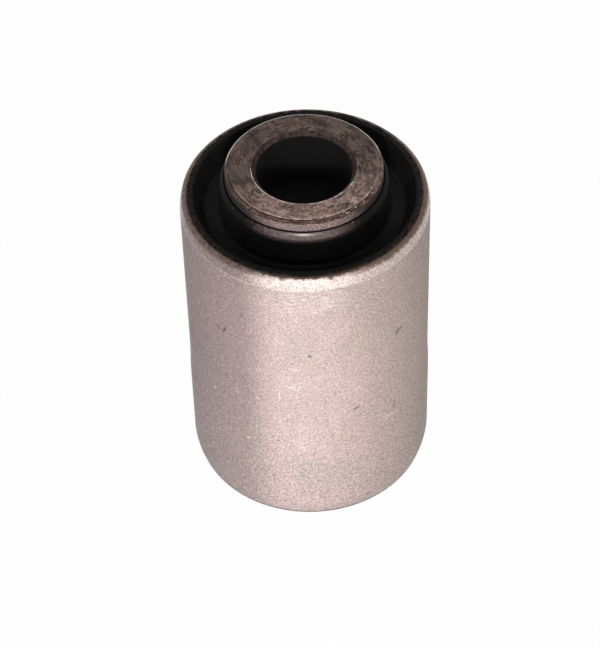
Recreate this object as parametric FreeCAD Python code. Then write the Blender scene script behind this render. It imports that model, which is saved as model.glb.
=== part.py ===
import FreeCAD, Part
import math
import os

# A bonded rubber bush: a thick steel tube held inside a thin steel sleeve by one rubber moulding.
# It stands on the lower end of its inner tube. Z runs up the common axis and starts at that end.
# All sizes are in millimetres, and every radius is measured from the axis.

# Inner tube, which the bolt goes through and the bracket clamps end to end
INNER_LENGTH = 71.5
INNER_WALL = 5.2
BORE_CHAMFER = 0.8
FACE_CHAMFER_WIDTH = 0.8
FACE_CHAMFER_DROP = 0.45

# Outer sleeve, which is pressed into its housing upper end first. Its radius and its wall are measured at
# the upper band, and the lower band stands out by the step.
UPPER_RADIUS = 21.0
SLEEVE_LENGTH = 60.0
SLEEVE_WALL = 1.5
UPPER_BAND = 36.5
STEP_HEIGHT = 0.2
STEP_LENGTH = 4.5
UPPER_LEAD_LENGTH = 2.2
UPPER_LEAD_DROP = 0.35
UPPER_RIM_CHAMFER = 0.45
LOWER_LEAD_LENGTH = 2.5
LOWER_LEAD_DROP = 0.6
LOWER_RIM_CHAMFER = 0.25

# Rubber moulding, with the same groove, collar and lip at both ends
RUBBER_WALL = 6.3
GROOVE_DEPTH = 3.4
GROOVE_CORNER = 0.8
GROOVE_DRAFT = 1.7
LINING = 0.45
LIP_REACH = 0.6
LIP_HEIGHT = 0.15
COLLAR_BELOW_FACE = 2.0
COLLAR_WALL = 0.9
COLLAR_FALL = 0.7
COLLAR_ROUND = 2.0
COLLAR_GAP = 0.3
COLLAR_GAP_DEPTH = 0.6

# The bonded faces meet with no gap, and each piece is sized from the one that holds it
BOND = 0.0
LOWER_RADIUS = UPPER_RADIUS + STEP_HEIGHT
SLEEVE_BORE = UPPER_RADIUS - SLEEVE_WALL
INNER_RADIUS = SLEEVE_BORE - RUBBER_WALL
BORE_RADIUS = INNER_RADIUS - INNER_WALL

# The sleeve sits midway along the inner tube
LOWER_RIM = (INNER_LENGTH - SLEEVE_LENGTH) / 2
UPPER_RIM = LOWER_RIM + SLEEVE_LENGTH

# The most of a run that the round at one of its ends may take
ROUND_SHARE = 0.45
SHARP = 0.0


def point(corner):
    return FreeCAD.Vector(corner[0], 0, corner[1])


def rounded_corner(before, corner, after, radius):
    """Where a tangent arc starts, passes and ends as it rounds one corner of an outline."""
    back = point(before) - point(corner)
    ahead = point(after) - point(corner)
    half_angle = back.getAngle(ahead) / 2
    longest = ROUND_SHARE * min(back.Length, ahead.Length)
    reach = min(radius / math.tan(half_angle), longest)
    true_radius = reach * math.tan(half_angle)
    back.normalize()
    ahead.normalize()
    inward = back + ahead
    inward.normalize()
    centre = point(corner) + inward * (reach / math.cos(half_angle))
    start = point(corner) + back * reach
    middle = centre - inward * true_radius
    end = point(corner) + ahead * reach
    return start, middle, end


def outline(corners):
    """Closed wire through corners given as (radius, height, round), with arcs where they are round."""
    count = len(corners)
    turns = []
    for index, corner in enumerate(corners):
        if corner[2] > SHARP:
            turns.append(rounded_corner(corners[index - 1], corner, corners[(index + 1) % count], corner[2]))
        else:
            turns.append((point(corner), None, point(corner)))
    edges = []
    for index, (start, middle, end) in enumerate(turns):
        if middle is not None:
            edges.append(Part.Arc(start, middle, end).toShape())
        next_start = turns[(index + 1) % count][0]
        edges.append(Part.LineSegment(end, next_start).toShape())
    return Part.Wire(edges)


def turned(corners):
    """Solid of revolution about the bush's axis."""
    face = Part.Face(outline(corners))
    axis = FreeCAD.Vector(0, 0, 1)
    return face.revolve(FreeCAD.Vector(0, 0, 0), axis, 360)


def sleeve_bore(gap):
    """The sleeve's straight bore and drawn-in ends, from the lower rim to the upper, moved in by gap."""
    radius = SLEEVE_BORE - gap
    return [
        (radius - LOWER_LEAD_DROP, LOWER_RIM, SHARP),
        (radius, LOWER_RIM + LOWER_LEAD_LENGTH, SHARP),
        (radius, UPPER_RIM - UPPER_LEAD_LENGTH, SHARP),
        (radius - UPPER_LEAD_DROP, UPPER_RIM, SHARP),
    ]


def outer_sleeve():
    """Thin tube, drawn in and chamfered at both rims, with its upper band turned a little smaller."""
    lower_edge = LOWER_RADIUS - LOWER_LEAD_DROP
    upper_edge = UPPER_RADIUS - UPPER_LEAD_DROP
    step_top = UPPER_RIM - UPPER_BAND
    outside = [
        (lower_edge - LOWER_RIM_CHAMFER, LOWER_RIM, SHARP),
        (lower_edge, LOWER_RIM + LOWER_RIM_CHAMFER, SHARP),
        (LOWER_RADIUS, LOWER_RIM + LOWER_LEAD_LENGTH, SHARP),
        (LOWER_RADIUS, step_top - STEP_LENGTH, SHARP),
        (UPPER_RADIUS, step_top, SHARP),
        (UPPER_RADIUS, UPPER_RIM - UPPER_LEAD_LENGTH, SHARP),
        (upper_edge, UPPER_RIM - UPPER_RIM_CHAMFER, SHARP),
        (upper_edge - UPPER_RIM_CHAMFER, UPPER_RIM, SHARP),
    ]
    inside = sleeve_bore(0)
    inside.reverse()
    return turned(outside + inside)


def inner_sleeve():
    """Thick tube with flat ends, chamfered outside and at the mouths of its bore."""
    face_edge = INNER_RADIUS - FACE_CHAMFER_WIDTH
    mouth = BORE_RADIUS + BORE_CHAMFER
    return turned([
        (mouth, 0, SHARP),
        (face_edge, 0, SHARP),
        (INNER_RADIUS, FACE_CHAMFER_DROP, SHARP),
        (INNER_RADIUS, INNER_LENGTH - FACE_CHAMFER_DROP, SHARP),
        (face_edge, INNER_LENGTH, SHARP),
        (mouth, INNER_LENGTH, SHARP),
        (BORE_RADIUS, INNER_LENGTH - BORE_CHAMFER, SHARP),
        (BORE_RADIUS, BORE_CHAMFER, SHARP),
    ])


def rubber_end(rim_bore, rim, face, outward):
    """One end of the moulding, from its bond on the inner tube out to the sleeve's rim.

    rim_bore is the sleeve's inner radius at that rim, and outward is 1 at the top and -1 below.
    """
    tube = INNER_RADIUS + BOND
    collar_top = face - outward * COLLAR_BELOW_FACE
    gap_floor = collar_top - outward * COLLAR_GAP_DEPTH
    collar_side = tube + COLLAR_WALL
    groove_floor = rim - outward * GROOVE_DEPTH
    lip_top = rim + outward * LIP_HEIGHT
    lining_edge = rim_bore - LINING
    lip_edge = rim_bore + LIP_REACH
    return [
        (tube, gap_floor, SHARP),
        (tube + COLLAR_GAP, gap_floor, SHARP),
        (tube + COLLAR_GAP, collar_top, SHARP),
        (collar_side, collar_top - outward * COLLAR_FALL, COLLAR_ROUND),
        (collar_side, groove_floor + outward * GROOVE_CORNER, SHARP),
        (collar_side + GROOVE_CORNER, groove_floor, SHARP),
        (lining_edge - GROOVE_DRAFT, groove_floor, SHARP),
        (lining_edge, lip_top, SHARP),
        (lip_edge, lip_top, SHARP),
        (lip_edge, rim, SHARP),
    ]


def rubber_body():
    """One moulding that fills the sleeve, with a ring groove, a collar and a lip at each end."""
    bonded = sleeve_bore(BOND)
    upper_end = rubber_end(bonded[-1][0], UPPER_RIM, INNER_LENGTH, 1)
    lower_end = rubber_end(bonded[0][0], LOWER_RIM, 0, -1)
    upper_end.reverse()
    return turned(lower_end + bonded + upper_end)


def main():
    os.makedirs("parts", exist_ok=True)
    nodes = {
        "outer_sleeve": outer_sleeve(),
        "rubber_body": rubber_body(),
        "inner_sleeve": inner_sleeve(),
    }
    for name, shape in nodes.items():
        shape.exportStep("parts/" + name + ".step")
        print(name, "volume", round(shape.Volume, 1), "mm3, valid", shape.isValid())


main()
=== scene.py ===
# %% [markdown]
# # A rubber metal bush
#
# A bush like this carries a suspension arm on a car. A bolt clamps the thick inner tube to its bracket, the
# thin outer sleeve is pressed into the arm, and the rubber between them twists and gives. This lesson
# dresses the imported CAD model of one: it turns three detailed pieces, gives each its own finish, and lights
# them as one flash from the front would.
#
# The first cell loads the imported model. Its sizes are true, so every new piece takes its place from it.

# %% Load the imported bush
import bpy
import math
from mathutils import Matrix, Vector


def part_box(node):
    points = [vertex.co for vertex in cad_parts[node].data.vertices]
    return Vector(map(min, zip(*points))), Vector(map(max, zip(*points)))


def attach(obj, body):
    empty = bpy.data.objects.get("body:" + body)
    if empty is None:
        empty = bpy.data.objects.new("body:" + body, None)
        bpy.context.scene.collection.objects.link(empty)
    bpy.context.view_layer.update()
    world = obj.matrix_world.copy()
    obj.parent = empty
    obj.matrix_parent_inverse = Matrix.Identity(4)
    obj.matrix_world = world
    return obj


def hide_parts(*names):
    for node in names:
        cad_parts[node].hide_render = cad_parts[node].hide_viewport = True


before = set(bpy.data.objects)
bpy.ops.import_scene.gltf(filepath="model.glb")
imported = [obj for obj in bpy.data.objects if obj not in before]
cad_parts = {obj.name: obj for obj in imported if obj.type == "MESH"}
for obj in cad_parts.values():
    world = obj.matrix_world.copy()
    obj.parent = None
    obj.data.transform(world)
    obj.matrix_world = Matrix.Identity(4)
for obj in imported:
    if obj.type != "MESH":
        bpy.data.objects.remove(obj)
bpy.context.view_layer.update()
MM = 0.001
for name in sorted(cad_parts):
    low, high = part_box(name)
    size = [round((top - bottom) / MM, 2) for bottom, top in zip(low, high)]
    print(name, "is", size, "mm and starts", round(low.z / MM, 2), "mm above the floor")

# %% [markdown]
# ## The camera
# The photograph looks down on the bush from about 47 degrees, through a long lens, and a little turned. A
# camera can be placed by eye, but here it was worked out from the outlines of the rims. It is written as a
# photographer would say it: how high it looks from, how far off it is, how it is rolled, and how far it is
# slid sideways and down from facing the middle of the upper rim.

# %% Place the camera
VIEW_HEIGHT = math.radians(47.205)
VIEW_ROLL = math.radians(-1.796)
VIEW_DISTANCE = 426.962 * MM
SLID_RIGHT = -0.786 * MM
SLID_UP = -22.145 * MM
LENS = 142.17
rim_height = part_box("outer_sleeve")[1].z


def camera_axes():
    """The camera's right, up and back, as unit vectors."""
    level_up = Vector((0, math.sin(VIEW_HEIGHT), math.cos(VIEW_HEIGHT)))
    back = Vector((0, -math.cos(VIEW_HEIGHT), math.sin(VIEW_HEIGHT)))
    right = Vector((1, 0, 0)) * math.cos(VIEW_ROLL) + level_up * math.sin(VIEW_ROLL)
    return right, back.cross(right), back


right, up, back = camera_axes()
rim_middle = Vector((0, 0, rim_height))
view_point = rim_middle + back * VIEW_DISTANCE + right * SLID_RIGHT + up * SLID_UP
camera_data = bpy.data.cameras.new("camera")
camera_data.lens = LENS
camera = bpy.data.objects.new("camera", camera_data)
bpy.context.scene.collection.objects.link(camera)
turned = Matrix((right, up, back)).transposed().to_4x4()
camera.matrix_world = Matrix.Translation(view_point) @ turned
bpy.context.scene.camera = camera
print("the camera is at", [round(v / MM, 1) for v in view_point], "mm")

# %% [markdown]
# ## Turning a piece ring by ring
# Every piece of a bush is round about one axis, so on the bench it comes off a lathe or out of a round
# mould. In Blender a profile could be spun, but a spin leaves a seam, and its rings are hard to find again.
# Here a circle is extruded instead: each step copies the ring, scales it about the axis and lifts it. The
# last ring lands on the first, the doubles are merged, and the shell is closed.

# %% Turn a closed profile
SEGMENTS = 384
MERGE = 0.002 * MM


def select_only(piece):
    bpy.ops.object.select_all(action="DESELECT")
    piece.select_set(True)
    bpy.context.view_layer.objects.active = piece


def turn_piece(name, profile):
    """A closed shell about Z through the rings of a profile, each (radius, height) in millimetres."""
    bpy.ops.object.select_all(action="DESELECT")
    radius, height = profile[0]
    bpy.ops.mesh.primitive_circle_add(vertices=SEGMENTS, radius=radius * MM)
    piece = bpy.context.object
    piece.name = name
    bpy.ops.object.mode_set(mode="EDIT")
    bpy.ops.transform.translate(value=(0, 0, height * MM))
    for next_radius, next_height in profile[1:] + profile[:1]:
        share = next_radius / radius
        bpy.ops.mesh.extrude_edges_move()
        bpy.ops.transform.resize(value=(share, share, 1), center_override=(0, 0, 0))
        bpy.ops.transform.translate(value=(0, 0, (next_height - height) * MM))
        radius, height = next_radius, next_height
    bpy.ops.mesh.select_all(action="SELECT")
    bpy.ops.mesh.remove_doubles(threshold=MERGE)
    bpy.ops.mesh.normals_make_consistent(inside=False)
    bpy.ops.object.mode_set(mode="OBJECT")
    print(name, "turned through", len(profile), "rings")
    return piece


# %% [markdown]
# ## Rounding its edges
# A turned edge is never perfectly sharp, and the thin bright lines in the photograph are light caught on
# small rounds. A Bevel modifier would round every edge alike. The bevel operator rounds one ring at a time,
# so a rim keeps a small round while the rubber's shoulder gets a large one.

# %% Pick a ring and bevel it
NEAR = 0.01 * MM


def on_ring(point, radius, height):
    off_radius = abs(math.hypot(point.x, point.y) - radius * MM)
    return off_radius < NEAR and abs(point.z - height * MM) < NEAR


def pick_ring(piece, radius, height):
    """Selects the edges of one ring and nothing else, and gives how many there are."""
    bpy.context.tool_settings.mesh_select_mode = (False, True, False)
    mesh = piece.data
    for part in list(mesh.vertices) + list(mesh.polygons):
        part.select = False
    for edge in mesh.edges:
        ends = [mesh.vertices[index].co for index in edge.vertices]
        edge.select = all(on_ring(end, radius, height) for end in ends)
    return sum(edge.select for edge in mesh.edges)


def round_ring(piece, ring, size, steps):
    """Bevels the ring at (radius, height) back by a size in millimetres."""
    select_only(piece)
    found = pick_ring(piece, *ring)
    bpy.ops.object.mode_set(mode="EDIT")
    bpy.ops.mesh.bevel(offset=size * MM, segments=steps, affect="EDGES")
    bpy.ops.object.mode_set(mode="OBJECT")
    print("  rounded", found, "edges at radius", ring[0], "and height", ring[1], "by", size)


def round_rings(piece, rounds):
    """Bevels many rings, each given as (ring, size, steps)."""
    for ring, size, steps in rounds:
        round_ring(piece, ring, size, steps)


def smooth_faces(piece, angle):
    select_only(piece)
    bpy.ops.object.shade_smooth_by_angle(angle=math.radians(angle))


# %% [markdown]
# ## The outer sleeve
# The sleeve is a length of thin steel tube. Both ends are drawn in for a couple of millimetres, so that it
# finds its way into its housing, and the upper part is sized a fifth of a millimetre smaller than the lower
# one. That step is what the two kinks in the photograph's outline show. The bore is drawn in with the ends
# and straight between them. Heights that the finishes need again later are named here.

# %% Turn the sleeve
RIM = 65.75
LEAD = 63.55
LOWER_LEAD = 8.25
LOWER_RIM = 5.75
SLEEVE_OUTSIDE = [(20.35, LOWER_RIM), (20.6, 6.0), (21.2, LOWER_LEAD), (21.2, 24.75)]
SLEEVE_OUTSIDE += [(21.0, 29.25), (21.0, LEAD), (20.65, 65.3), (20.2, RIM)]
SLEEVE_BORE = [(19.15, RIM), (19.5, LEAD), (19.5, LOWER_LEAD), (18.9, LOWER_RIM)]
sleeve = turn_piece("sleeve", SLEEVE_OUTSIDE + SLEEVE_BORE)

# %% [markdown]
# The rims get rounds of a tenth or two of a millimetre, as a blasted edge has. Where the tube is drawn in
# the metal bends over a longer way, and the sizing step fades over several millimetres.

# %% Round the sleeve's edges
SLEEVE_ROUNDS = [
    ((20.2, RIM), 0.16, 4), ((20.65, 65.3), 0.2, 4), ((21.0, LEAD), 0.5, 4),
    ((21.0, 29.25), 1.8, 5), ((21.2, 24.75), 1.8, 5), ((21.2, LOWER_LEAD), 0.9, 5),
    ((20.6, 6.0), 0.12, 3), ((20.35, LOWER_RIM), 0.1, 3), ((19.15, RIM), 0.15, 3),
]
round_rings(sleeve, SLEEVE_ROUNDS)
smooth_faces(sleeve, angle=30)

# %% [markdown]
# ## The rubber
# The rubber is one moulding. At each end it has a deep ring groove, which lets it flex, a rounded collar
# that climbs the inner tube, and a thin lip of flash that was squeezed out over the sleeve's rim. Its
# corners are all soft. Outside it follows the sleeve's bore, to which it is bonded. The lower collar is
# the upper one turned over, and the lower lip is a little smaller, because that rim is drawn in further.

# %% Turn the rubber
FACE = 71.5
MIDDLE = FACE / 2
COLLAR_TOP = 69.5
GROOVE = 62.35
LIP = 65.9
LOWER_LIP = 5.6
TUBE_RADIUS = 13.2
COLLAR = [(TUBE_RADIUS, 68.9), (13.5, 68.9), (13.5, COLLAR_TOP), (14.1, 68.8), (14.1, GROOVE)]
UPPER_EDGE = [(17.0, GROOVE), (18.7, LIP), (19.72, LIP), (19.72, RIM)]
LOWER_EDGE = [(19.47, LOWER_RIM), (19.47, LOWER_LIP), (18.45, LOWER_LIP), (16.75, 9.15)]


def turned_over(rings):
    """The same rings at the other end, in the order that carries the profile on."""
    return [(radius, 2 * MIDDLE - height) for radius, height in reversed(rings)]


rubber = turn_piece("rubber", COLLAR + UPPER_EDGE + SLEEVE_BORE + LOWER_EDGE + turned_over(COLLAR))

# %% [markdown]
# The large round on the collar's shoulder is what carries the soft highlight below the inner tube's face.
# The groove's corners are rounded less, and the lip's edge only a little.

# %% Round the rubber's corners
COLLAR_ROUNDS = [((14.1, 68.8), 0.7, 8), ((13.5, COLLAR_TOP), 0.08, 3), ((14.1, GROOVE), 0.8, 6)]
EDGE_ROUNDS = [((17.0, GROOVE), 0.45, 5), ((18.7, LIP), 0.12, 3)]
EDGE_ROUNDS += [((16.75, 9.15), 0.45, 5), ((18.45, LOWER_LIP), 0.12, 3)]
lower_rounds = [(turned_over([ring])[0], size, steps) for ring, size, steps in COLLAR_ROUNDS]
round_rings(rubber, COLLAR_ROUNDS + lower_rounds + EDGE_ROUNDS)

# %% [markdown]
# ## A ragged lip
# Flash tears where it leaves the mould, so the lip's outer edge isn't a true circle. The edge's vertices
# could be moved one by one. A Displace modifier does it evenly: a cloud texture pushes only the vertices of
# one group, and the modifier is then applied.

# %% Tear the lip's edge
LIP_RINGS = [(19.72, LIP), (19.72, RIM), (19.47, LOWER_LIP), (19.47, LOWER_RIM)]


def group_rings(piece, group_name, rings):
    """Puts the vertices of some rings in a vertex group."""
    group = piece.vertex_groups.new(name=group_name)
    points = piece.data.vertices
    chosen = [point.index for point in points if any(on_ring(point.co, *ring) for ring in rings)]
    group.add(chosen, 1.0, "REPLACE")
    return len(chosen)


def roughen(piece, group_name, grain, strength):
    """Pushes a vertex group in and out by up to half a strength, in patches of one grain, all in mm."""
    clouds = bpy.data.textures.new(group_name, "CLOUDS")
    clouds.noise_scale = grain * MM
    clouds.noise_depth = 3
    select_only(piece)
    push = piece.modifiers.new(group_name, "DISPLACE")
    push.texture = clouds
    push.vertex_group = group_name
    push.strength = strength * MM
    bpy.ops.object.modifier_apply(modifier=push.name)


print("torn points:", group_rings(rubber, "torn_edge", LIP_RINGS))
roughen(rubber, "torn_edge", grain=1.1, strength=0.5)
smooth_faces(rubber, angle=40)

# %% [markdown]
# ## The inner tube
# The inner tube is thick, because the bolt clamps it end to end. It was cut square and chamfered inside and
# out, and it stands a little above the rubber. Its edges are crisp, so their rounds are a tenth of a
# millimetre: about one pixel of the photograph, which is just what draws a bright line.

# %% Turn the inner tube
FACE_EDGE = 12.4
MOUTH_EDGE = 8.8
BORE_RADIUS = 8.0
TUBE_OUTSIDE = [(FACE_EDGE, 0.0), (TUBE_RADIUS, 0.45), (TUBE_RADIUS, FACE - 0.45), (FACE_EDGE, FACE)]
TUBE_BORE = [(MOUTH_EDGE, FACE), (BORE_RADIUS, FACE - 0.8), (BORE_RADIUS, 0.8), (MOUTH_EDGE, 0.0)]
inner_tube = turn_piece("inner_tube", TUBE_OUTSIDE + TUBE_BORE)
round_rings(inner_tube, [(ring, 0.1, 3) for ring in TUBE_OUTSIDE + TUBE_BORE])
smooth_faces(inner_tube, angle=30)

# %% [markdown]
# ## Building with nodes
# A node tree can be put together by hand in the editor, but one of this size is easier to read as text.
# Each of these helpers adds one node and gives back its output, so a finish can be written as a sum. A
# ramp is the most useful of them: it turns a range of values into a soft change from one level to another.

# %% Helpers for node trees
def put(tree, kind, inputs, **settings):
    """Adds a node, fills its inputs with values or sockets, and gives its outputs."""
    made = tree.nodes.new(kind)
    for name, value in settings.items():
        setattr(made, name, value)
    for key, value in inputs.items():
        if isinstance(value, bpy.types.NodeSocket):
            tree.links.new(value, made.inputs[key])
        else:
            made.inputs[key].default_value = value
    return made.outputs


def figure(tree, operation, first, second=0.0, third=0.0):
    """One Math node."""
    return put(tree, "ShaderNodeMath", {0: first, 1: second, 2: third}, operation=operation)[0]


def times(tree, first, *others):
    """The product of two or more values."""
    for other in others:
        first = figure(tree, "MULTIPLY", first, other)
    return first


def plus(tree, first, second):
    return figure(tree, "ADD", first, second)


def minus(tree, first, second):
    return figure(tree, "SUBTRACT", first, second)


def larger(tree, first, second):
    return figure(tree, "MAXIMUM", first, second)


def between(tree, mask, off, on):
    """Off where a mask is 0, on where it is 1, and in step between."""
    return figure(tree, "MULTIPLY_ADD", mask, on - off, off)


def ramp(tree, value, start, end, low=0.0, high=1.0, kind="SMOOTHSTEP"):
    """Goes from low to high as a value goes from start to end."""
    span = {"Value": value, "From Min": start, "From Max": end, "To Min": low, "To Max": high}
    return put(tree, "ShaderNodeMapRange", span, interpolation_type=kind)[0]


# %% [markdown]
# What several finishes share is made once, as a node group: a small tree of its own with named inputs and
# outputs. It is then placed in each material with that material's own values.

# %% Helpers for node groups
def new_group(name, inputs, outputs):
    """A shader node group with named sockets, and its inner ends."""
    group = bpy.data.node_groups.new(name, "ShaderNodeTree")
    for label, kind, value in inputs:
        socket = group.interface.new_socket(name=label, in_out="INPUT", socket_type="NodeSocket" + kind)
        if value is not None:
            socket.default_value = value
    for label, kind in outputs:
        group.interface.new_socket(name=label, in_out="OUTPUT", socket_type="NodeSocket" + kind)
    start = group.nodes.new("NodeGroupInput")
    end = group.nodes.new("NodeGroupOutput")
    return group, start.outputs, end.inputs


def finish_group(group, end, results):
    for label, socket in results.items():
        group.links.new(socket, end[label])
    print("group", group.name, "has", len(group.nodes), "nodes")


def use(tree, group, inputs):
    """Places a node group in a tree and fills its inputs."""
    return put(tree, "ShaderNodeGroup", inputs, node_tree=group)


# %% [markdown]
# ## Reading a place on a turned piece
# The finishes follow the shape: the rim is worn, the lead-in is burnished, the bore is black. A painted
# map could say where, but a turned piece says it by itself. Object coordinates are first scaled to
# millimetres, and this group gives three numbers from them: how far a point is from the axis, how far
# round it is, in degrees from the right, and how high.

# %% Group: place on the piece
ONTO_GROUND = (1, 1, 0)


def flattened(tree, position):
    """A position pressed flat onto the ground, and how far it is from the axis."""
    flat = put(tree, "ShaderNodeVectorMath", {0: position, 1: ONTO_GROUND}, operation="MULTIPLY")[0]
    return flat, put(tree, "ShaderNodeVectorMath", {0: flat}, operation="LENGTH")["Value"]


place, given, result = new_group(
    "place on the piece",
    [("Position", "Vector", None)],
    [("From Axis", "Float"), ("Round", "Float"), ("Height", "Float")],
)
parts = put(place, "ShaderNodeSeparateXYZ", {0: given["Position"]})
flat, reach = flattened(place, given["Position"])
turn = figure(place, "DEGREES", figure(place, "ARCTAN2", parts[1], parts[0]))
finish_group(place, result, {"From Axis": reach, "Round": turn, "Height": parts[2]})

# %% [markdown]
# ## Masks that every finish uses
# A mask is 1 where an effect shows and 0 elsewhere. Four kinds serve the whole bush: a band between two
# values, patches of a noise, scattered specks, and streaks. Each is a group, so a finish only says how
# big, how sharp and how many. All sizes are in millimetres.

# %% Group: band
band, given, result = new_group(
    "band",
    [("Value", "Float", 0.0), ("From", "Float", 0.0), ("To", "Float", 1.0), ("Soft", "Float", 0.1)],
    [("Mask", "Float")],
)


def soft_step(tree, value, edge, soft, before, after):
    """Goes from one level to another across an edge."""
    return ramp(tree, value, minus(tree, edge, soft), plus(tree, edge, soft), before, after)


rise = soft_step(band, given["Value"], given["From"], given["Soft"], 0.0, 1.0)
fall = soft_step(band, given["Value"], given["To"], given["Soft"], 1.0, 0.0)
finish_group(band, result, {"Mask": times(band, rise, fall)})

# %% Group: patches
GRAININESS = 0.6
patches, given, result = new_group(
    "patches",
    [("Position", "Vector", None), ("Size", "Float", 1.0), ("Detail", "Float", 3.0),
     ("From", "Float", 0.4), ("To", "Float", 0.6), ("Twist", "Float", 0.0)],
    [("Mask", "Float"), ("Noise", "Float")],
)
clouds = put(patches, "ShaderNodeTexNoise", {
    "Vector": given["Position"], "Scale": figure(patches, "DIVIDE", 1.0, given["Size"]),
    "Detail": given["Detail"], "Roughness": GRAININESS, "Distortion": given["Twist"]})[0]
patch = ramp(patches, clouds, given["From"], given["To"])
finish_group(patches, result, {"Mask": patch, "Noise": clouds})

# %% Group: specks
SOLID_CORE = 0.4
specks, given, result = new_group(
    "specks",
    [("Position", "Vector", None), ("Spacing", "Float", 1.0), ("Radius", "Float", 0.2),
     ("Share", "Float", 0.5)],
    [("Mask", "Float")],
)
scale = figure(specks, "DIVIDE", 1.0, given["Spacing"])
cells = put(specks, "ShaderNodeTexVoronoi", {"Vector": given["Position"], "Scale": scale})
away = times(specks, cells["Distance"], given["Spacing"])
core = times(specks, given["Radius"], SOLID_CORE)
dot = ramp(specks, away, core, given["Radius"], 1.0, 0.0)
chance = put(specks, "ShaderNodeSeparateColor", {0: cells["Color"]})[0]
drawn = figure(specks, "LESS_THAN", chance, given["Share"])
finish_group(specks, result, {"Mask": times(specks, dot, drawn)})

# %% [markdown]
# Turned and rubbed metal is marked along its turn. A streak is a patch of a stretched noise, which is read
# in lengths round the axis and in widths across it. What carries it round is the direction from the axis,
# so the noise meets itself without a seam. Wander bends the streaks out of true.

# %% Group: streaks
STREAK_RADIUS = 15.0
streaks, given, result = new_group(
    "streaks",
    [("Position", "Vector", None), ("Length", "Float", 2.0), ("Width", "Float", 0.4),
     ("From", "Float", 0.5), ("To", "Float", 0.6), ("Wander", "Float", 0.0)],
    [("Mask", "Float")],
)
flat, reach = flattened(streaks, given["Position"])
aim = put(streaks, "ShaderNodeVectorMath", {0: flat}, operation="NORMALIZE")[0]
turns = figure(streaks, "DIVIDE", STREAK_RADIUS, given["Length"])
around = put(streaks, "ShaderNodeVectorMath", {0: aim, "Scale": turns}, operation="SCALE")[0]
height = put(streaks, "ShaderNodeSeparateXYZ", {0: given["Position"]})[2]
bend = put(streaks, "ShaderNodeTexNoise", {"Vector": given["Position"], "Scale": 0.6, "Detail": 2.0})[0]
across = plus(streaks, minus(streaks, reach, height), times(streaks, bend, given["Wander"]))
lift = put(streaks, "ShaderNodeCombineXYZ", {2: figure(streaks, "DIVIDE", across, given["Width"])})[0]
whole = put(streaks, "ShaderNodeVectorMath", {0: around, 1: lift}, operation="ADD")[0]
grains = put(streaks, "ShaderNodeTexNoise", {
    "Vector": whole, "Scale": 1.0, "Detail": 3.0, "Roughness": GRAININESS})[0]
finish_group(streaks, result, {"Mask": ramp(streaks, grains, given["From"], given["To"])})

# %% [markdown]
# ## Nicks and scratches
# The sleeve has a handful of small dark nicks and a few pale scratches, and each has its own place. This
# group draws one of them as a thin worn ellipse: its place is given round the sleeve and up it, with its
# length, width and tilt. Its edge is broken up with a little noise. On a flat face the distance from the
# axis can take the place of the height, and the ellipse is then shorter round the axis than it says.

# %% Group: nick
SLEEVE_RADIUS = 21.1
MM_PER_DEGREE = math.radians(1) * SLEEVE_RADIUS
WOBBLE = 0.5
FULL_WITHIN = 0.35
GONE_BEYOND = 0.8
nick, given, result = new_group(
    "nick",
    [("Position", "Vector", None), ("Round", "Float", 0.0), ("Height", "Float", 0.0),
     ("At Round", "Float", 0.0), ("At Height", "Float", 0.0), ("Length", "Float", 1.0),
     ("Width", "Float", 0.3), ("Tilt", "Float", 0.0)],
    [("Mask", "Float")],
)
across = times(nick, minus(nick, given["Round"], given["At Round"]), MM_PER_DEGREE)
rise = minus(nick, given["Height"], given["At Height"])
angle = figure(nick, "RADIANS", given["Tilt"])
cosine = figure(nick, "COSINE", angle)
sine = figure(nick, "SINE", angle)
along = plus(nick, times(nick, across, cosine), times(nick, rise, sine))
aside = minus(nick, times(nick, rise, cosine), times(nick, across, sine))
along = figure(nick, "DIVIDE", along, given["Length"])
aside = figure(nick, "DIVIDE", aside, given["Width"])
far = figure(nick, "SQRT", plus(nick, times(nick, along, along), times(nick, aside, aside)))
wobble = put(nick, "ShaderNodeTexNoise", {"Vector": given["Position"], "Scale": 3.0, "Detail": 2.0})[0]
far = plus(nick, far, between(nick, wobble, -WOBBLE / 2, WOBBLE / 2))
finish_group(nick, result, {"Mask": ramp(nick, far, FULL_WITHIN, GONE_BEYOND, 1.0, 0.0)})

# %% [markdown]
# ## Starting a finish
# Each material begins the same way: object coordinates, scaled to millimetres, and the place on the piece.
# The shader itself stays in the material, and its constant values are set on its own sockets.

# %% Start a material and give it to a piece
def start_material(name, specular):
    """A material with its Principled shader, and the position in millimetres and the place on the piece."""
    material = bpy.data.materials.new(name)
    material.use_nodes = True
    tree = material.node_tree
    shader = tree.nodes["Principled BSDF"]
    shader.inputs["Specular IOR Level"].default_value = specular
    coordinates = put(tree, "ShaderNodeTexCoord", {})
    inputs = {"Vector": coordinates["Object"], "Scale": [1 / MM] * 3}
    position = put(tree, "ShaderNodeMapping", inputs)[0]
    where = use(tree, place, {"Position": position})
    return material, tree, shader, position, where


def feed(tree, shader, values):
    """Links what a finish has worked out to the shader."""
    for name, value in values.items():
        tree.links.new(value, shader.inputs[name])


def give_finish(piece, material):
    piece.data.materials.clear()
    piece.data.materials.append(material)
    print(piece.name, "is finished with", material.name, "of", len(material.node_tree.nodes), "nodes")


# %% [markdown]
# A finish is laid like paint, layer over layer. Each layer has a colour, the masks that say where it goes,
# and a strength.

# %% Layers of colour
def layer(tree, under, over, *masks, strength=1.0):
    """Lays one colour over another where every mask says so."""
    share = times(tree, *masks)
    if strength < 1.0:
        share = times(tree, share, strength)
    return put(tree, "ShaderNodeMix", {0: share, 6: under, 7: over}, data_type="RGBA")[2]


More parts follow.
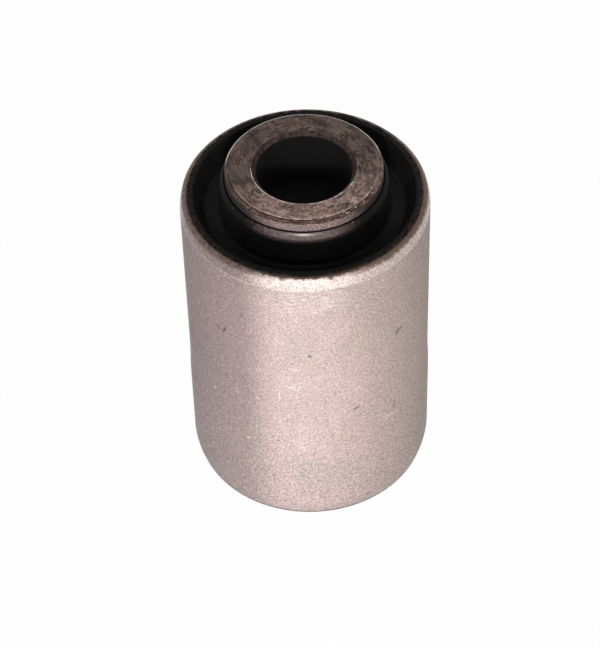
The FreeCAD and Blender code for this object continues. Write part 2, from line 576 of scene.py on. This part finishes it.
def shade(tree, colour, amount):
    """Multiplies a colour by an amount that is about 1."""
    inputs = {0: 1.0, 6: colour, 7: amount}
    return put(tree, "ShaderNodeMix", inputs, data_type="RGBA", blend_type="MULTIPLY")[2]


# %% [markdown]
# A zone is the part of a piece between two heights, reaches or angles. Its border can be loosened with a
# noise, so that it isn't drawn with a ruler. A mark is one nick at its own place.

# %% Zones, marks and relief
BEYOND = 1000.0


def zone(tree, value, start, end, soft):
    """1 where a value lies between two others, with soft borders."""
    return use(tree, band, {"Value": value, "From": start, "To": end, "Soft": soft})["Mask"]


def above(tree, value, start, soft):
    """1 where a value is past a start, with no end."""
    return zone(tree, value, start, BEYOND, soft)


def below(tree, value, end, soft):
    """1 where a value is short of an end, with no start."""
    return zone(tree, value, -BEYOND, end, soft)


def loosened(tree, value, noise, amount):
    """A value that a noise pushes up, by half the amount on average."""
    return figure(tree, "MULTIPLY_ADD", noise["Noise"], amount, value)


def mark(tree, position, where, along, row):
    """One mark, from a row of its place round and along the piece, length, width and tilt."""
    inputs = {"Position": position, "Round": where["Round"], "Height": where[along]}
    inputs.update(zip(("At Round", "At Height", "Length", "Width", "Tilt"), row))
    return use(tree, nick, inputs)["Mask"]


def bumped(tree, height, strength, depth):
    """The normal over a relief whose depth is in millimetres."""
    inputs = {"Strength": strength, "Distance": depth * MM, "Height": height}
    return put(tree, "ShaderNodeBump", inputs)["Normal"]


# %% [markdown]
# ## The sleeve's finish
# The sleeve is blasted and phosphated: a satin, slightly pink grey that scatters most of the light and still
# glitters a little. It is built in layers, from broad to fine. First come clouds of two tints. Over them, a
# duller mauve at the left is painted shade, where the satin mirrors something dark, and a beige at the right
# is a painted tint of warmer light, as the photograph shows them.

# %% Sleeve: broad colour
PINK_GREY = (0.60, 0.465, 0.45, 1)
BEIGE_GREY = (0.52, 0.425, 0.395, 1)
LEFT_SHADE_MAUVE = (0.325, 0.248, 0.24, 1)
WARM_LIGHT_BEIGE = (0.435, 0.347, 0.31, 1)
steel, tree, shader, position, where = start_material("sleeve_steel", specular=0.3)
broad = use(tree, patches, {"Position": position, "Size": 11.0, "Detail": 3.0, "From": 0.35, "To": 0.65})
colour = layer(tree, PINK_GREY, BEIGE_GREY, broad["Mask"])
loose_round = loosened(tree, where["Round"], broad, 14.0)
# Painted shade: the left side is a duller mauve, where the satin mirrors something dark.
painted_shade_left = zone(tree, loose_round, -164.0, -108.0, 10.0)
low_part = below(tree, where["Height"], 26.0, 16.0)
colour = layer(tree, colour, LEFT_SHADE_MAUVE, painted_shade_left, between(tree, low_part, 0.87, 0.63))
# Painted light: a warmer beige tint at the right.
painted_warm_light_right = zone(tree, loose_round, -68.0, 20.0, 22.0)
colour = layer(tree, colour, WARM_LIGHT_BEIGE, painted_warm_light_right, strength=0.7)
print("the sleeve's colour has", len(tree.nodes), "nodes")

# %% [markdown]
# Blasting leaves a fine grain, some of it painted bright where a facet mirrors the light, and a few dark
# pores. The grain and its painted glints are a little stronger low down.

# %% Sleeve: grain
HIGHLIGHT_AND_SCRATCH_PALE = (0.95, 0.85, 0.82, 1)
PORE_BROWN = (0.2, 0.15, 0.14, 1)
fine = use(tree, patches, {
    "Position": position, "Size": 0.28, "Detail": 2.0, "From": 0.25, "To": 0.75, "Twist": 0.8})
contrast = between(tree, low_part, 0.74, 0.96)
off_middle = minus(tree, fine["Mask"], 0.5)
colour = shade(tree, colour, plus(tree, times(tree, off_middle, contrast), 1.0))
# Painted glints: bright specks where facets mirror the light.
glitter_share = between(tree, low_part, 0.22, 0.44)
glitter = use(tree, specks, {"Position": position, "Spacing": 0.65, "Radius": 0.15, "Share": glitter_share})
colour = layer(tree, colour, HIGHLIGHT_AND_SCRATCH_PALE, glitter["Mask"], contrast)
pores = use(tree, specks, {"Position": position, "Spacing": 1.3, "Radius": 0.16, "Share": 0.3})
colour = layer(tree, colour, PORE_BROWN, pores["Mask"], strength=0.35)
print("with its grain it has", len(tree.nodes), "nodes")

# %% [markdown]
# The drawn-in lead is bare metal where the tool rubbed it. Just below it, at the front, the tool's drawn
# lines are painted bright where the highlight falls.

# %% Sleeve: drawn lines painted as highlight, and lead-in
LEAD_GREY = (0.56, 0.458, 0.428, 1)
LEAD_LEFT_SHADE = (0.26, 0.20, 0.19, 1)
drawn = use(tree, streaks, {"Position": position, "Length": 1.5, "Width": 0.25, "From": 0.5, "To": 0.66})
below_lead = zone(tree, where["Height"], LEAD - 5.05, LEAD - 0.25, 1.5)
highlit_front = zone(tree, where["Round"], -104.0, -76.0, 9.0)
# Painted highlight: the drawn lines are bright only at the front, where the highlight falls.
colour = layer(tree, colour, HIGHLIGHT_AND_SCRATCH_PALE, drawn["Mask"], below_lead, highlit_front, strength=0.8)
lead = above(tree, where["Height"], LEAD - 0.1, 0.15)
# The lead-in is painted darker at the left, with the same painted shade.
lead_colour = layer(tree, LEAD_GREY, LEAD_LEFT_SHADE, painted_shade_left, strength=0.9)
lead_colour = shade(tree, lead_colour, plus(tree, times(tree, off_middle, 1.05), 1.0))
colour = layer(tree, colour, lead_colour, lead)
print("with its lead-in it has", len(tree.nodes), "nodes")

# %% [markdown]
# The rim is brown, except at the front, where it was rubbed clean and is also left bare and light as a
# painted highlight where the flash falls. The brown thins out downwards in patches, because its border is
# loosened. Next to the rubber the rim carries a dark residue with a rusty fringe, and along the lip's edge
# that dark is also painted shadow. The lower edge is brown too. The crease below the lead catches a broken
# line of light.

# %% Sleeve: rims
RIM_BROWN = (0.075, 0.052, 0.043, 1)
RIM_LIGHT = (0.225, 0.16, 0.138, 1)
RIM_WARM_LIGHT_TAN = (0.14, 0.088, 0.06, 1)
RESIDUE_RUST = (0.085, 0.045, 0.032, 1)
RESIDUE_AND_LIP_SHADOW = (0.012, 0.009, 0.008, 1)
border = use(tree, patches, {"Position": position, "Size": 0.6, "Detail": 4.0, "From": 0.35, "To": 0.65})
rim = above(tree, loosened(tree, where["Height"], border, 1.6), RIM + 0.25, 0.35)
# Painted highlight: the rim's brown is left off at the front, where the flash falls.
bare_highlit_front = zone(tree, where["Round"], -114.0, -66.0, 14.0)
beyond_rim = above(tree, loosened(tree, where["From Axis"], border, 0.9), 20.72, 0.12)
rim_brown_share = between(tree, times(tree, bare_highlit_front, beyond_rim), 1.0, 0.06)
rim_colour = layer(tree, RIM_BROWN, RIM_LIGHT, border["Mask"])
# At the right the rim takes the same painted tint of warmer light.
rim_colour = layer(tree, rim_colour, RIM_WARM_LIGHT_TAN, painted_warm_light_right, strength=0.7)
colour = layer(tree, colour, rim_colour, rim, rim_brown_share)
loose_reach = loosened(tree, where["From Axis"], border, -0.9)
colour = layer(tree, colour, RESIDUE_RUST, below(tree, loose_reach, 19.42, 0.12), strength=0.8)
# Painted shadow: a dark line along the lip's edge, together with the residue.
colour = layer(tree, colour, RESIDUE_AND_LIP_SHADOW, below(tree, loose_reach, 19.24, 0.06))
crease = zone(tree, where["Height"], LEAD - 0.25, LEAD + 0.1, 0.12)
colour = layer(tree, colour, HIGHLIGHT_AND_SCRATCH_PALE, crease, border["Mask"], strength=0.35)
lower_edge = below(tree, where["Height"], LOWER_RIM + 0.7, 0.2)
colour = layer(tree, colour, RIM_BROWN, lower_edge, strength=0.8)
print("with its rims it has", len(tree.nodes), "nodes")

# %% [markdown]
# ## Placing the nicks
# The nicks were read from the photograph, so their pixels are turned into places on the sleeve: a line goes
# from the camera through the pixel, and meets the sleeve's cylinder. The side that the photograph doesn't
# show gets no nicks of its own.

# %% Where a pixel meets the sleeve
PICTURE = (600, 648)
FILM_WIDTH = 36.0


def place_of_pixel(across, down):
    """How far round, in degrees, and how high, in millimetres, a pixel lands on the sleeve."""
    share = FILM_WIDTH / LENS / max(PICTURE)
    aim = right * (across - PICTURE[0] / 2) * share - up * (down - PICTURE[1] / 2) * share - back
    a = aim.x ** 2 + aim.y ** 2
    b = 2 * (view_point.x * aim.x + view_point.y * aim.y)
    c = view_point.x ** 2 + view_point.y ** 2 - (SLEEVE_RADIUS * MM) ** 2
    distance = (-b - math.sqrt(b * b - 4 * a * c)) / (2 * a)
    spot = view_point + aim * distance
    return math.degrees(math.atan2(spot.y, spot.x)), spot.z / MM


def all_nicks(tree, position, where, rows):
    """One mask for many marks, each (pixel across, pixel down, length, width, tilt)."""
    whole = 0.0
    for across, down, length, width, tilt in rows:
        row = place_of_pixel(across, down) + (length, width, tilt)
        whole = larger(tree, whole, mark(tree, position, where, "Height", row))
    print("placed", len(rows), "marks")
    return whole


# %% Sleeve: nicks and scratches
NICK_BROWN = (0.06, 0.045, 0.04, 1)
DARK_NICKS = [
    (218.0, 326.5, 0.9, 0.3, -50), (224.0, 330.0, 1.6, 0.4, 65), (241.5, 315.5, 0.6, 0.25, -60),
    (309.5, 357.0, 0.7, 0.4, -50), (398.0, 331.5, 1.1, 0.5, 50), (401.5, 327.5, 0.6, 0.4, 0),
    (356.5, 408.5, 1.3, 0.35, 30), (414.5, 338.0, 0.5, 0.3, 0), (278.0, 440.0, 0.4, 0.3, 0),
    (226.0, 375.0, 0.5, 0.3, 30), (367.5, 492.5, 0.5, 0.3, 0), (394.5, 403.5, 0.6, 0.3, 70),
    (274.0, 474.5, 0.5, 0.3, 0),
]
PALE_SCRATCHES = [
    (390.0, 414.5, 3.2, 0.2, -19), (386.0, 418.5, 1.8, 0.18, -19), (279.0, 396.5, 1.6, 0.25, 90),
    (237.0, 391.0, 1.2, 0.2, -50), (294.0, 370.5, 1.6, 0.25, -10), (302.0, 447.0, 1.8, 0.2, 20),
    (358.0, 388.0, 1.6, 0.18, 40), (215.0, 387.0, 0.6, 0.35, 90), (257.0, 398.5, 0.8, 0.3, -20),
    (410.5, 441.0, 0.8, 0.3, 60), (204.0, 414.0, 0.6, 0.3, 0), (290.5, 388.0, 1.3, 0.3, 0),
    (249.0, 437.0, 0.9, 0.25, 40),
]
dark = all_nicks(tree, position, where, DARK_NICKS)
pale = all_nicks(tree, position, where, PALE_SCRATCHES)

# %% [markdown]
# Two tongues of the residue run out over the rim. Their places are plain enough to be given as degrees
# round. The nicks and scratches go on last, so that nothing hides them.

# %% Sleeve: tongues of residue, and the marks
TONGUE_BROWN = (0.11, 0.075, 0.06, 1)
TONGUES = [-102.0, -79.3]
for at_round in TONGUES:
    tongue = mark(tree, position, where, "Height", (at_round, RIM, 0.85, 0.75))
    colour = layer(tree, colour, TONGUE_BROWN, tongue, strength=0.85)
colour = layer(tree, colour, NICK_BROWN, dark, strength=0.75)
colour = layer(tree, colour, HIGHLIGHT_AND_SCRATCH_PALE, pale, strength=0.5)
print("with its marks the sleeve has", len(tree.nodes), "nodes")

# %% [markdown]
# The same fine grain drives the gloss and the relief, so that a bright facet is also a raised one. The
# lead-in is smoother and more metallic than the rest, and more strongly hammered.

# %% Sleeve: gloss and relief
gloss = ramp(tree, fine["Noise"], 0.3, 0.7, 0.66, 0.5, kind="LINEAR")
relief = times(tree, fine["Noise"], between(tree, lead, 1.0, 2.6))
relief = minus(tree, relief, times(tree, dark, 0.8))
feed(tree, shader, {
    "Base Color": colour,
    "Metallic": between(tree, lead, 0.15, 0.7),
    "Roughness": minus(tree, gloss, times(tree, lead, 0.2)),
    "Normal": bumped(tree, relief, strength=0.6, depth=0.06),
})
give_finish(sleeve, steel)

# %% [markdown]
# ## The rubber's finish
# Moulded rubber is nearly black and has a low, soft gloss. Its colour alone would look like a hole, so the
# finish is in the gloss: a faint cloudy bloom and the fine skin that the mould leaves.

# %% Rubber: bloom and skin
RUBBER_BLACK = (0.0055, 0.0055, 0.0054, 1)
RUBBER_BLOOM = (0.0105, 0.0103, 0.010, 1)
black, tree, shader, position, where = start_material("black_rubber", specular=0.09)
bloom = use(tree, patches, {"Position": position, "Size": 3.0, "Detail": 4.0, "From": 0.35, "To": 0.75})
colour = layer(tree, RUBBER_BLACK, RUBBER_BLOOM, bloom["Mask"])
skin = use(tree, patches, {"Position": position, "Size": 0.3, "Detail": 3.0, "From": 0.3, "To": 0.7})
print("the rubber's colour has", len(tree.nodes), "nodes")

# %% [markdown]
# The collar's shoulder has been rubbed at the front, where a greyish film has come up, and the film is also a
# painted highlight where the flash falls. It is strongest at the top of the shoulder and runs out as it turns
# down. Below it, at the front, the collar is painted a deeper black as painted shade in the groove. A few
# pale crumbs of grit lie on the shoulder, and fewer still in the groove.

# %% Rubber: the rubbed shoulder and the grit
FILM_AND_HIGHLIGHT_GREY = (0.235, 0.142, 0.139, 1)
COLLAR_PAINTED_SHADE = (0.001, 0.001, 0.001, 1)
GRIT = (0.42, 0.40, 0.37, 1)
scuffs = use(tree, patches, {"Position": position, "Size": 0.5, "Detail": 4.0, "From": 0.35, "To": 0.65})
rubbed_highlit_side = zone(tree, loosened(tree, where["Round"], scuffs, 30.0), -106.0, -48.0, 16.0)
front_half = zone(tree, where["Round"], -150.0, -20.0, 20.0)
collar_only = below(tree, where["From Axis"], 15.2, 0.3)
shoulder_top = times(tree, above(tree, where["Height"], COLLAR_TOP - 1.2, 1.0), collar_only)
shaded_collar_wall = minus(tree, collar_only, shoulder_top)
film_and_highlight = between(tree, scuffs["Mask"], 0.4, 1.0)
# Painted shade: at the front, the collar's wall below the shoulder is blacker.
colour = layer(tree, colour, COLLAR_PAINTED_SHADE, shaded_collar_wall, front_half)
# Painted highlight: the grey film on the front of the shoulder.
colour = layer(tree, colour, FILM_AND_HIGHLIGHT_GREY, shoulder_top, rubbed_highlit_side, film_and_highlight, strength=0.8)
crumbs = use(tree, specks, {"Position": position, "Spacing": 0.7, "Radius": 0.13, "Share": 0.12})
colour = layer(tree, colour, GRIT, crumbs["Mask"], shoulder_top, front_half, strength=0.8)
grit = use(tree, specks, {"Position": position, "Spacing": 1.9, "Radius": 0.16, "Share": 0.09})
colour = layer(tree, colour, GRIT, grit["Mask"])
print("with its shoulder it has", len(tree.nodes), "nodes")

# %% [markdown]
# The lip is thin flash, and blacker than the groove. Brown dirt from the rim has settled on it in patches,
# least at the front, and its torn outer edge is rusty where it lies on the steel.

# %% Rubber: the lip
LIP_BLACK = (0.003, 0.003, 0.003, 1)
LIP_BROWN = (0.05, 0.035, 0.029, 1)
LIP_RUST = (0.11, 0.066, 0.05, 1)
lip = above(tree, where["From Axis"], 19.05, 0.3)
lip_dirt = use(tree, patches, {"Position": position, "Size": 0.7, "Detail": 4.0, "From": 0.42, "To": 0.62})
colour = layer(tree, colour, LIP_BLACK, lip)
lip_front = zone(tree, where["Round"], -130.0, -50.0, 20.0)
colour = layer(tree, colour, LIP_BROWN, lip, between(tree, lip_front, 1.0, 0.2), lip_dirt["Mask"])
lip_edge = above(tree, loosened(tree, where["From Axis"], lip_dirt, 0.8), 20.1, 0.12)
colour = layer(tree, colour, LIP_RUST, lip_edge, strength=0.8)
print("with its lip it has", len(tree.nodes), "nodes")

# %% [markdown]
# The rubbed shoulder has a clear coat of its own, because handling has polished the rubber there, and that
# carries the soft line of light beside the gap.

# %% Rubber: gloss and relief
shader.inputs["Coat Roughness"].default_value = 0.3
feed(tree, shader, {
    "Base Color": colour,
    "Coat Weight": times(tree, shoulder_top, rubbed_highlit_side),
    "Roughness": ramp(tree, bloom["Noise"], 0.3, 0.7, 0.52, 0.68, kind="LINEAR"),
    "Normal": bumped(tree, skin["Noise"], strength=0.3, depth=0.05),
})
give_finish(rubber, black)

# %% [markdown]
# ## The inner tube's finish
# The cut face was machined and has stained brown in store. At the front it is worn down to a lighter pink
# ground, and darker blotches lie over both. The face is laid first, as if it covered the whole tube.

# %% Inner tube: the face's ground
STAIN_OLIVE = (0.175, 0.134, 0.108, 1)
STAIN_RED = (0.26, 0.165, 0.138, 1)
WORN_PINK = (0.92, 0.63, 0.55, 1)
stained, tree, shader, position, where = start_material("inner_steel", specular=0.2)
ground = use(tree, patches, {
    "Position": position, "Size": 2.2, "Detail": 5.0, "From": 0.4, "To": 0.6, "Twist": 0.5})
colour = layer(tree, STAIN_OLIVE, STAIN_RED, ground["Mask"])
worn_side = zone(tree, where["Round"], -140.0, -16.0, 38.0)
wear = use(tree, patches, {"Position": position, "Size": 0.8, "Detail": 5.0, "From": 0.38, "To": 0.62})
worn_front = between(tree, worn_side, 0.05, 0.85)
colour = layer(tree, colour, WORN_PINK, worn_front, between(tree, wear["Mask"], 0.35, 1.0))
mottle = use(tree, patches, {"Position": position, "Size": 0.45, "Detail": 4.0, "From": 0.25, "To": 0.75})
colour = shade(tree, colour, between(tree, mottle["Mask"], 0.66, 1.36))
print("the face's ground has", len(tree.nodes), "nodes")

# %% [markdown]
# The stains are of three kinds: broad blotches, short streaks in clusters that follow the turning, and
# dark marks at places of their own, which are given as degrees round and millimetres from the axis. Pale
# flecks of bare metal come last.

# %% Inner tube: stains, each mark as degrees round, reach, length, width and tilt
BLOTCH = (0.018, 0.012, 0.010, 1)
FACE_MARKS = [
    (-50.0, 9.35, 4.5, 0.45, 0), (-72.0, 9.6, 1.3, 0.35, 20), (-84.0, 9.8, 1.0, 0.3, 0),
    (-91.0, 9.6, 0.8, 0.25, 0), (-148.0, 10.0, 0.8, 1.0, 0), (-53.0, 11.8, 2.2, 0.9, 0),
    (-8.0, 11.1, 1.8, 0.6, 30), (4.0, 9.5, 2.8, 0.3, -15), (172.0, 11.1, 2.8, 0.7, 0),
    (138.0, 11.6, 6.0, 0.7, 0), (115.0, 10.3, 1.0, 0.8, 0), (36.0, 10.6, 1.2, 1.2, 0),
]
unworn = between(tree, worn_side, 1.0, 0.72)
stains = use(tree, patches, {
    "Position": position, "Size": 2.4, "Detail": 7.0, "From": 0.46, "To": 0.62, "Twist": 0.5})
colour = layer(tree, colour, BLOTCH, stains["Mask"], unworn, strength=0.65)
turned_marks = use(tree, streaks, {
    "Position": position, "Length": 2.3, "Width": 0.34, "From": 0.49, "To": 0.58, "Wander": 1.5})
clusters = use(tree, patches, {"Position": position, "Size": 3.2, "Detail": 2.0, "From": 0.42, "To": 0.58})
clustered = between(tree, clusters["Mask"], 0.3, 0.9)
colour = layer(tree, colour, BLOTCH, turned_marks["Mask"], clustered, unworn)
for row in FACE_MARKS:
    colour = layer(tree, colour, BLOTCH, mark(tree, position, where, "From Axis", row), strength=0.6)
flecks = use(tree, specks, {"Position": position, "Spacing": 0.55, "Radius": 0.15, "Share": 0.3})
colour = layer(tree, colour, WORN_PINK, flecks["Mask"], strength=0.45)
print("with its stains it has", len(tree.nodes), "nodes")

# %% [markdown]
# The tube's other parts are rings, told by how far they are from the axis. The outside is pitted grey steel,
# lighter at the front and nearly black elsewhere, and below the rubber's edge it is painted dark.

# %% Inner tube: outside
BAND_GREY = (0.195, 0.135, 0.132, 1)
BAND_LIGHT = (0.40, 0.30, 0.295, 1)
BAND_DARK = (0.028, 0.025, 0.022, 1)
GAP_DARK = (0.012, 0.008, 0.008, 1)
outside = above(tree, where["From Axis"], TUBE_RADIUS - 0.04, 0.03)
loose_round = loosened(tree, where["Round"], wear, 24.0)
# The outside is lighter at the front.
lighter_front_side = zone(tree, loose_round, -113.0, -43.0, 16.0)
pits = use(tree, patches, {"Position": position, "Size": 0.32, "Detail": 3.0, "From": 0.48, "To": 0.64})
wall_colour = layer(tree, BAND_GREY, BAND_LIGHT, pits["Mask"])
wall_colour = layer(tree, BAND_DARK, wall_colour, lighter_front_side)
colour = layer(tree, colour, wall_colour, outside)
# The tube's wall below the rubber's edge is painted dark.
in_the_rubber = zone(tree, where["Height"], FACE - COLLAR_TOP - 0.05, COLLAR_TOP + 0.05, 0.12)
colour = layer(tree, colour, GAP_DARK, outside, in_the_rubber)
print("with its outside it has", len(tree.nodes), "nodes")

# %% [markdown]
# The chamfer round the face is rusty along most of the front, in streaks with bright flecks. At the left
# it is dark, and round the back it is stained like the face.

# %% Inner tube: chamfer
CHAMFER_RUST = (0.18, 0.095, 0.078, 1)
CHAMFER_DARK = (0.045, 0.026, 0.021, 1)
CHAMFER_FLECK = (0.58, 0.38, 0.32, 1)
rust_marks = use(tree, streaks, {
    "Position": position, "Length": 1.7, "Width": 0.34, "From": 0.44, "To": 0.58})
bright_marks = use(tree, streaks, {
    "Position": position, "Length": 0.9, "Width": 0.24, "From": 0.58, "To": 0.68})
rust = layer(tree, CHAMFER_DARK, CHAMFER_RUST, rust_marks["Mask"])
rust = layer(tree, rust, CHAMFER_FLECK, bright_marks["Mask"], strength=0.8)
rusty_side = zone(tree, loose_round, -138.0, -12.0, 18.0)
left_side = zone(tree, where["Round"], -172.0, -120.0, 8.0)
chamfer_colour = layer(tree, colour, BLOTCH, left_side, strength=0.7)
chamfer_colour = layer(tree, chamfer_colour, rust, rusty_side)
top_edge = above(tree, where["Height"], FACE - 0.5, 0.08)
beyond_face = above(tree, where["From Axis"], FACE_EDGE + 0.04, 0.05)
colour = layer(tree, colour, chamfer_colour, top_edge, beyond_face)
print("with its chamfer it has", len(tree.nodes), "nodes")

# %% [markdown]
# Bare metal shows where edges are rubbed, and the light it catches is painted on: painted glints at places of
# their own, and thin lines of painted highlight along the face's edge, the mouth's edge and, at the back, the
# outer edge. The lines are metallic, so they mirror the white backdrop from any side, as a real worn edge
# does.

# %% Inner tube: glints on the face, each as degrees round, reach, length and width
EDGE_HIGHLIGHT = (0.95, 0.80, 0.66, 1)
GLINTS = [
    (-60.5, 12.2, 0.5, 0.45), (-58.0, 12.9, 0.9, 0.16), (-52.5, 12.0, 0.5, 0.25),
    (-50.0, 12.7, 0.6, 0.2), (-46.0, 12.2, 1.2, 0.2), (-47.0, 11.4, 0.6, 0.22),
    (-41.5, 12.8, 0.5, 0.2), (-36.0, 12.4, 0.9, 0.2), (-64.5, 12.4, 1.1, 0.14),
    (-30.5, 12.8, 0.5, 0.2), (-27.0, 12.2, 0.6, 0.2), (-137.0, 9.3, 0.8, 0.3),
]
# Painted glints: bright marks on the face.
for row in GLINTS:
    colour = layer(tree, colour, EDGE_HIGHLIGHT, mark(tree, position, where, "From Axis", row), strength=0.7)
print("placed", len(GLINTS), "glints")

# %% Inner tube: bright edges
face_line = zone(tree, where["From Axis"], FACE_EDGE - 0.07, FACE_EDGE + 0.05, 0.04)
mouth_line = zone(tree, where["From Axis"], MOUTH_EDGE - 0.02, MOUTH_EDGE + 0.12, 0.04)
front_left = zone(tree, where["Round"], -158.0, -100.0, 10.0)
all_but_right = below(tree, where["Round"], -24.0, 14.0)
worn_edge_highlight = times(tree, face_line, worn_side, between(tree, wear["Mask"], 0.1, 0.75))
front_left_edge_highlight = times(tree, face_line, front_left, 0.45)
mouth_edge_highlight = times(tree, mouth_line, all_but_right, between(tree, wear["Mask"], 0.35, 0.9))
near_edge_highlights = larger(tree, larger(tree, worn_edge_highlight, front_left_edge_highlight), mouth_edge_highlight)
# Painted highlight: bright lines along the face's edge and the mouth's edge.
colour = layer(tree, colour, EDGE_HIGHLIGHT, near_edge_highlights)
outer_line = above(tree, where["From Axis"], TUBE_RADIUS - 0.2, 0.03)
top_line = above(tree, where["Height"], FACE - 0.53, 0.03)
back_edge_highlight = times(tree, outer_line, top_line, zone(tree, where["Round"], 14.0, 172.0, 8.0))
# Painted highlight: a bright line along the outer edge at the back.
colour = layer(tree, colour, EDGE_HIGHLIGHT, back_edge_highlight, strength=0.7)
print("with its edges it has", len(tree.nodes), "nodes")

# %% [markdown]
# The mouth's chamfer is brown, and inside the bore the steel is black. Less and less light comes down a bore,
# and its far wall would sink to nothing, while the photograph shows it evenly dark. So the black is painted
# paler deeper down, as painted light that evens it out.

# %% Inner tube: mouth and bore
MOUTH_BROWN = (0.035, 0.024, 0.02, 1)
MOUTH_LIGHT = (0.10, 0.07, 0.06, 1)
BORE_BLACK = (0.0055, 0.0052, 0.0055, 1)
BORE_PAINTED_LIGHT = (0.3, 0.29, 0.3, 1)
mouth = below(tree, where["From Axis"], MOUTH_EDGE - 0.04, 0.04)
colour = layer(tree, colour, layer(tree, MOUTH_BROWN, MOUTH_LIGHT, wear["Mask"]), mouth)
# Painted light: the bore's wall is paler deeper down.
painted_light_deep = zone(tree, where["Height"], 10.0, 57.5, 5.0)
inside = below(tree, where["From Axis"], BORE_RADIUS + 0.08, 0.04)
colour = layer(tree, colour, layer(tree, BORE_BLACK, BORE_PAINTED_LIGHT, painted_light_deep), inside)
print("with its bore it has", len(tree.nodes), "nodes")

# %% [markdown]
# Steel is duller where a stain lies thick, so the noise that laid the stains drives the gloss and the
# relief as well. The bright lines are smoother, and the mouth and the bore are the dullest parts.

# %% Inner tube: gloss and relief
lines = larger(tree, back_edge_highlight, near_edge_highlights)
satin = ramp(tree, stains["Noise"], 0.3, 0.7, 0.42, 0.65, kind="LINEAR")
rough = larger(tree, satin, times(tree, mouth, 0.85))
feed(tree, shader, {
    "Base Color": colour,
    "Metallic": larger(tree, times(tree, lines, 0.85), 0.06),
    "Roughness": minus(tree, rough, times(tree, lines, 0.3)),
    "Normal": bumped(tree, stains["Noise"], strength=0.4, depth=0.05),
})
give_finish(inner_tube, stained)

# %% [markdown]
# ## Standing in for the CAD
# Each new piece stands for one CAD node and rides on the same body. The node keeps its place in the model
# for its weight and its collision, and only the new piece is shown.

# %% Replace the CAD nodes
STANDS_FOR = [
    (sleeve, "outer_sleeve", "sleeve_steel"),
    (rubber, "rubber_body", "black_rubber"),
    (inner_tube, "inner_sleeve", "inner_steel"),
]
for piece, node, slot in STANDS_FOR:
    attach(piece, "root")
    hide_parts(node)
    print(piece.name, "stands for", node, "with", len(piece.data.polygons), "faces")

# %% [markdown]
# ## The floor
# The photograph's ground is plain white. A floor that only glows would lose the shadow, so its material is
# a plain grey paint, which takes the shadow and throws back some light, and over it a glow that only the
# camera and reflections see.

# %% Lay the floor
FLOOR_SIZE = 6.0
GLOW_SHARE = 0.985
FLOOR_GREY = (0.5, 0.5, 0.5, 1)
WHITE = (1, 1, 1, 1)
bpy.ops.object.select_all(action="DESELECT")
bpy.ops.mesh.primitive_plane_add(size=FLOOR_SIZE, location=(0, 0, 0))
floor = bpy.context.object
floor.name = "floor"
white = bpy.data.materials.new("white_floor")
white.use_nodes = True
tree = white.node_tree
tree.nodes.clear()


def seen_rays(tree):
    """1 for rays from the camera, a reflection or glass, and 0 for light that only bounces."""
    rays = put(tree, "ShaderNodeLightPath", {})
    shiny = larger(tree, rays["Is Glossy Ray"], rays["Is Transmission Ray"])
    return larger(tree, rays["Is Camera Ray"], shiny)


paint = put(tree, "ShaderNodeBsdfDiffuse", {"Color": FLOOR_GREY})
glow = put(tree, "ShaderNodeEmission", {"Color": WHITE, "Strength": 1.0})
share = times(tree, seen_rays(tree), GLOW_SHARE)
floor_look = put(tree, "ShaderNodeMixShader", {0: share, 1: paint[0], 2: glow[0]})
put(tree, "ShaderNodeOutputMaterial", {"Surface": floor_look[0]})
give_finish(floor, white)

# %% [markdown]
# ## The light
# The photograph was lit from the front by one flash. The bright lead-in and the dark groove behind it say
# that it stood lower than the lens, about 27 degrees above the ground, and a little to the left. The white
# ground in front of the bush threw some of the light back on to the middle of the sleeve. So there are
# two lamps: one for the flash, and a long low one close to the sleeve for the ground. The world adds an
# even light, and looks white to the camera and in reflections.

# %% Place the lamps
FLASH_AT = (-32, -525, 308)
FLASH_TARGET = (0, 0, 40)
FLASH_SIZE = (70, 70)
FLASH_POWER = 1.9
GROUND_AT = (-2, -85, 37)
GROUND_TARGET = (0, 0, 37)
GROUND_SIZE = (130, 16)
GROUND_POWER = 0.04


def place_lamp(name, at, target, size, power):
    """A soft lamp, with its place, target and size in millimetres."""
    lamp_data = bpy.data.lights.new(name, "AREA")
    lamp_data.shape = "RECTANGLE"
    lamp_data.size = size[0] * MM
    lamp_data.size_y = size[1] * MM
    lamp_data.energy = power
    lamp = bpy.data.objects.new(name, lamp_data)
    bpy.context.scene.collection.objects.link(lamp)
    spot = Vector(at) * MM
    away = spot - Vector(target) * MM
    lamp.matrix_world = Matrix.Translation(spot) @ away.to_track_quat("Z", "Y").to_matrix().to_4x4()
    lamp.visible_camera = False
    print(name, "shines from", round(away.length / MM), "mm away")


place_lamp("flash", FLASH_AT, FLASH_TARGET, FLASH_SIZE, FLASH_POWER)
place_lamp("bright_ground", GROUND_AT, GROUND_TARGET, GROUND_SIZE, GROUND_POWER)

# %% Light the surroundings
world = bpy.data.worlds.new("surroundings")
bpy.context.scene.world = world
world.use_nodes = True
tree = world.node_tree
FILL = 0.12
level = between(tree, seen_rays(tree), FILL, 1.0)
backdrop = tree.nodes["Background"]
backdrop.inputs["Color"].default_value = WHITE
tree.links.new(level, backdrop.inputs["Strength"])
bpy.context.scene.view_settings.view_transform = "Standard"
print("the surroundings give", FILL, "of white to the bush and look white")
